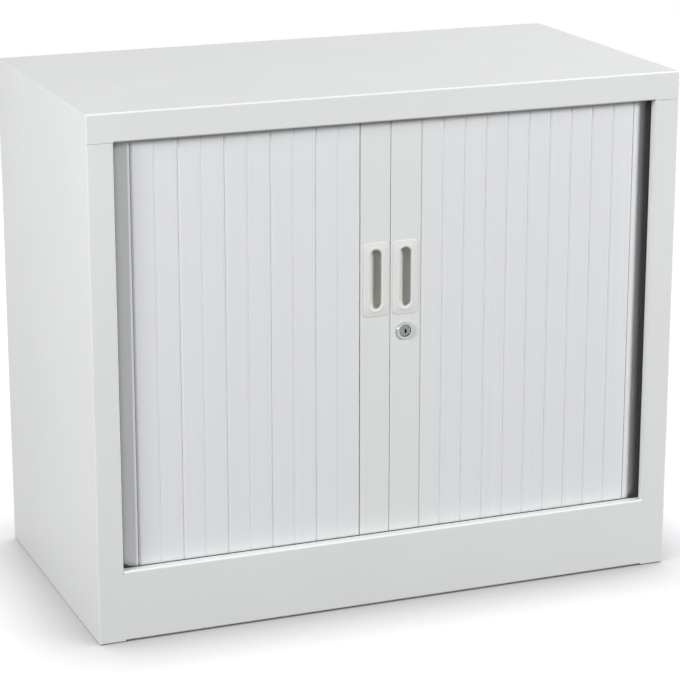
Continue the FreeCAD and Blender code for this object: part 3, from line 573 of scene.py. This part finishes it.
pullForm = {
    "slotWidth": 17.5,
    "slotHeight": 80.0,
    "plateCorner": 7.0,
    "plateEdge": 0.6,
    "edgeSteps": 4,
    "rimWidth": 3.4,
    "rimRise": 0.45,
    "rimSteps": 8,
    "lipRound": 0.9,
    "lipSteps": 4,
    "scoop": 6.2,  # half of how far the left wall curves in on its way down
    "endScoop": 2.4,
    "scoopSteps": 16,
    "undercut": 2.0,  # how far the right wall goes back behind the lip, for the fingertips
    "undercutRate": 3,  # how many times sooner than the floor it gets there
    "floorDepth": 9.0,
    "shell": 3.0,
    "cornerSteps": 10,
    "creaseDeg": 40,
}


def quarterTurn(steps, first=0):
    # a quarter turn in equal steps: the way across, 1 less the cosine, and the way on, the sine
    angles = [k * math.pi / 2 / steps for k in range(first, steps + 1)]
    return [(1 - math.cos(angle), math.sin(angle)) for angle in angles]


def pullRings(side):
    low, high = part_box("right_handle_cup")
    form = pullForm
    centre = (side * (low.x + high.x) / 2 / mm, (low.z + high.z) / 2 / mm)
    plate = ((high.x - low.x) / 2 / mm, (high.z - low.z) / 2 / mm)
    face = low.y / mm
    rear = high.y / mm
    slot = (form["slotWidth"] / 2, form["slotHeight"] / 2)

    def slotRing(grow, y, endGrow=None, aside=0):
        wide = slot[0] + grow
        tall = slot[1] + (grow if endGrow is None else endGrow)
        middle = (centre[0] + aside, centre[1])
        return roundedRing(middle, y, wide, tall, wide, form["cornerSteps"])

    def plateRing(inset, y):
        corner = form["plateCorner"] - inset
        return roundedRing(
            centre, y, plate[0] - inset, plate[1] - inset, corner, form["cornerSteps"])

    rings = [slotRing(form["shell"], y) for y in (rear, curtainFace)]
    rings.append(plateRing(0, curtainFace))
    edge = form["plateEdge"]
    for inward, forward in quarterTurn(form["edgeSteps"]):  # the plate's rounded edge
        rings.append(plateRing(edge * inward, face + edge * (1 - forward)))
    for k in range(form["rimSteps"] + 1):  # the rolled rim
        share = k / form["rimSteps"]
        rise = form["rimRise"] * math.sin(share * math.pi)
        rings.append(slotRing(form["rimWidth"] * (1 - share), face - rise))
    lip = form["lipRound"]
    for inward, down in quarterTurn(form["lipSteps"], 1):  # over the rim into the slot
        rings.append(slotRing(-lip * inward, face + lip * down))
    # down the scooped left wall and behind the lip on the right
    for inward, down in quarterTurn(form["scoopSteps"], 1):
        depth = lip + (form["floorDepth"] - lip) * down
        back = form["undercut"] * min(1, form["undercutRate"] * down) / 2
        scoop = form["scoop"] * inward
        endGrow = -lip - form["endScoop"] * inward
        rings.append(slotRing(-lip - scoop + back, face + depth, endGrow, scoop + back))
    return rings


for sideName, side in sides.items():
    pull = addPiece(
        f"{sideName}_finger_pull", *skinRings(pullRings(side)), finishes["handle_plastic"],
        f"{sideName}_shutter", "handle_plastic", pullForm["creaseDeg"])
    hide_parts(f"{sideName}_handle_cup")
print("finger pulls:", len(sides))


# Lock

collarForm = {
    "radius": 11.5,
    "edge": 1.6,  # radius of its rounded edge
    "edgeSteps": 6,
    # radius of its mouth, and how far behind its face
    "mouth": ((9.2, 0.05), (8.6, 0.3), (8.15, 0.7)),
    "bore": 8.05,  # radius
    "boreDepth": 0.8,
    "barrel": 9.0,  # radius behind the slat's face
    "creaseDeg": 40,
}
plugForm = {
    "radius": 7.95,
    "dome": 2.3,  # how far its face falls back at the edge
    "domeSteps": 14,  # from its edge to its middle
    "domeRings": 10,  # of those, the ones outside the keyhole
    "keyWidth": 2.4,
    "keyHeight": 5.6,
    "keyCorner": 0.5,
    "keyDeep": 6.0,
    # how much larger the keyhole's mouth is, and how far behind the face
    "keyMouth": ((0.5, 0.3), (0.15, 0.4), (0, 0.7)),
    "spigot": 3.5,  # half its side
    "spigotCorner": 0.2,
    "creaseDeg": 30,
}
keyShutterForm = {
    "play": 0.05,
    "rise": (0.4, 2.4),  # from the keyhole's floor to its two faces
    "creaseDeg": 30,
}
lockSteps = 20  # in each quarter of a ring

lowCore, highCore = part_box("lock_core")
lowHousing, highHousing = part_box("lock_housing")
lockCentre = ((lowCore.x + highCore.x) / 2 / mm, (lowCore.z + highCore.z) / 2 / mm)
collarFace = lowHousing.y / mm
barrelEnd = highHousing.y / mm
plugFace = lowCore.y / mm
spigotEnd = highCore.y / mm
keyFloor = plugFace + plugForm["keyDeep"]


def disc(radius, y):
    return roundedRing(lockCentre, y, radius, radius, radius, lockSteps)


def keyRing(grow, y):
    wide, tall = plugForm["keyWidth"] / 2 + grow, plugForm["keyHeight"] / 2 + grow
    corner = plugForm["keyCorner"] + max(grow, 0)
    return roundedRing(lockCentre, y, wide, tall, corner, lockSteps)


def makeCollar():
    form = collarForm
    rings = [disc(form["bore"], y) for y in (collarFace + form["boreDepth"], barrelEnd)]
    rings += [disc(form["barrel"], y) for y in (barrelEnd, curtainFace)]
    rings.append(disc(form["radius"], curtainFace))
    edge = form["edge"]
    for inward, forward in quarterTurn(form["edgeSteps"]):
        rings.append(disc(form["radius"] - edge * inward, collarFace + edge * (1 - forward)))
    rings += [disc(radius, collarFace + depth) for radius, depth in form["mouth"]]
    points, faces = skinRings(rings + [rings[0]])
    # the rings close on themselves, so the end faces go
    collar = addPiece(
        "lock_collar", points, faces[2:], finishes["chrome_plate"], "right_shutter",
        "chrome_plate", form["creaseDeg"])
    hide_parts("lock_housing")


def makePlug():
    form = plugForm
    half, corner = form["spigot"], form["spigotCorner"]
    rings = [
        roundedRing(lockCentre, y, half, half, corner, lockSteps) for y in (spigotEnd, barrelEnd)]
    rings.append(disc(form["radius"], barrelEnd))
    for k in range(form["domeRings"]):
        share = 1 - k / form["domeSteps"]
        rings.append(disc(form["radius"] * share, plugFace + form["dome"] * share ** 2))
    rings += [keyRing(grow, plugFace + depth) for grow, depth in form["keyMouth"]]
    rings.append(keyRing(0, keyFloor))
    core = addPiece(
        "lock_plug", *skinRings(rings), finishes["nickel_plate"], "lock_barrel", "chrome_plate",
        form["creaseDeg"])
    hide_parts("lock_core")


def makeKeyShutter():
    form = keyShutterForm
    rings = [keyRing(-form["play"], keyFloor - rise) for rise in form["rise"]]
    # near black: partly the steel's colour, partly painted shade in the keyhole
    addPiece(
        "key_shutter", *skinRings(rings), finishes["blued_steel_and_shade"], "lock_barrel",
        "zinc_plated_steel", form["creaseDeg"])


makeCollar()
makePlug()
makeKeyShutter()
print("lock: collar, plug and key shutter")


# Studio

studio = {
    "floorHalf": 12.0,
    "floorColour": "#4a4a4a",
    "floorRoughness": 0.9,
    "floorGlow": 0.92,  # what the camera sees of the floor beyond the light on it
    # painted contact shadow: the floor's glow is dimmed within this reach of the object
    "contactShadowReach": 0.12,  # metres of floor that the object darkens around itself
    "contactShadowSamples": 8,
    "worldStrength": 0.15,
    # name, place, width and height in metres, watts, if it lights surfaces, if they mirror it
    "lamps": [
        ("keySoftbox", (3.9, -3.62, 2.62), (1.3, 1.8), 279, True, False),
        # what shines back of the key, dim enough that no panel glares to white
        ("keyShine", (3.9, -3.62, 2.62), (1.3, 1.8), 16, False, True),
        ("sideSoftbox", (-3.1, -1.3, 1.62), (1.2, 1.2), 96, True, True),
        ("topSoftbox", (2.5, 0.35, 3.0), (1.0, 1.0), 43, True, True),
        ("rearSoftbox", (0.0, 2.6, 0.36), (0.6, 0.6), 20, True, True),
    ],
}
cameraView = {
    "lens": 136.3,
    "sensor": 36,
    "place": (-1.2313, -3.133, 1.2748),
    "yawDeg": 21.59,
    "pitchDeg": 16.14,
}


def seenDirectly(tree):
    # 1 for rays from the camera, mirrors and glass, and 0 for light falling on the object
    rays = addNode(tree, "ShaderNodeLightPath").outputs
    first = addNode(
        tree, "ShaderNodeMath", {"operation": "MAXIMUM"},
        {0: rays["Is Camera Ray"], 1: rays["Is Glossy Ray"]})
    both = addNode(
        tree, "ShaderNodeMath", {"operation": "MAXIMUM"},
        {0: first.outputs[0], 1: rays["Is Transmission Ray"]})
    return both.outputs[0]


def makeFloor():
    half = studio["floorHalf"]
    mesh = bpy.data.meshes.new("floor")
    corners = [(-half, -half, 0), (half, -half, 0), (half, half, 0), (-half, half, 0)]
    mesh.from_pydata(corners, [], [(0, 1, 2, 3)])
    floor = bpy.data.objects.new("floor", mesh)
    bpy.context.scene.collection.objects.link(floor)
    # matt laminate, which the camera sees as white paper with the object's shadow on it: partly
    # cast by the lamps, partly a contact shadow painted into its glow
    material, tree = newMaterial("whiteStudioFloor")
    lit = addNode(tree, "ShaderNodeBsdfPrincipled", {
        "Base Color": linear(studio["floorColour"]), "Roughness": studio["floorRoughness"],
        "Emission Color": (1, 1, 1, 1)})
    # painted contact shadow: ambient occlusion dims the glow near the object
    near = addNode(
        tree, "ShaderNodeAmbientOcclusion",
        {"samples": studio["contactShadowSamples"], "Distance": studio["contactShadowReach"]})
    glow = addNode(
        tree, "ShaderNodeMath", {"operation": "MULTIPLY", 1: studio["floorGlow"]},
        {0: near.outputs["AO"]})
    level = addNode(
        tree, "ShaderNodeMath", {"operation": "MULTIPLY"},
        {0: seenDirectly(tree), 1: glow.outputs[0]})
    tree.links.new(level.outputs[0], lit.inputs["Emission Strength"])
    addNode(tree, "ShaderNodeOutputMaterial", links={"Surface": lit.outputs["BSDF"]})
    mesh.materials.append(material)


def makeWorld():
    world = bpy.data.worlds.new("studio")
    bpy.context.scene.world = world
    world.use_nodes = True
    tree = world.node_tree
    tree.nodes.clear()
    strength = addNode(
        tree, "ShaderNodeMapRange", {"To Min": studio["worldStrength"], "To Max": 1.0},
        {"Value": seenDirectly(tree)})
    sky = addNode(
        tree, "ShaderNodeBackground", {"Color": (1, 1, 1, 1)},
        {"Strength": strength.outputs["Result"]})
    addNode(tree, "ShaderNodeOutputWorld", links={"Surface": sky.outputs["Background"]})


def addLamp(name, place, size, power, lights, shines):
    lamp = bpy.data.lights.new(name, "AREA")
    lamp.shape = "ELLIPSE"
    lamp.size, lamp.size_y = size
    lamp.energy = power
    holder = bpy.data.objects.new(name, lamp)
    bpy.context.scene.collection.objects.link(holder)
    holder.location = place
    middle = (cadBox[0] + cadBox[1]) / 2
    holder.rotation_euler = (middle - Vector(place)).to_track_quat("-Z", "Y").to_euler()
    holder.visible_camera = False
    holder.visible_diffuse = lights
    holder.visible_glossy = shines


def makeCamera():
    data = bpy.data.cameras.new("photoView")
    data.lens = cameraView["lens"]
    data.sensor_width = cameraView["sensor"]
    camera = bpy.data.objects.new("photoView", data)
    bpy.context.scene.collection.objects.link(camera)
    camera.location = cameraView["place"]
    pitch = math.radians(90 - cameraView["pitchDeg"])
    camera.rotation_euler = (pitch, 0, -math.radians(cameraView["yawDeg"]))
    bpy.context.scene.camera = camera


makeFloor()
makeWorld()
for lampRow in studio["lamps"]:
    addLamp(*lampRow)
makeCamera()
bpy.context.scene.view_settings.view_transform = "Standard"
print("studio: floor, world, camera and", len(studio["lamps"]), "lamps")
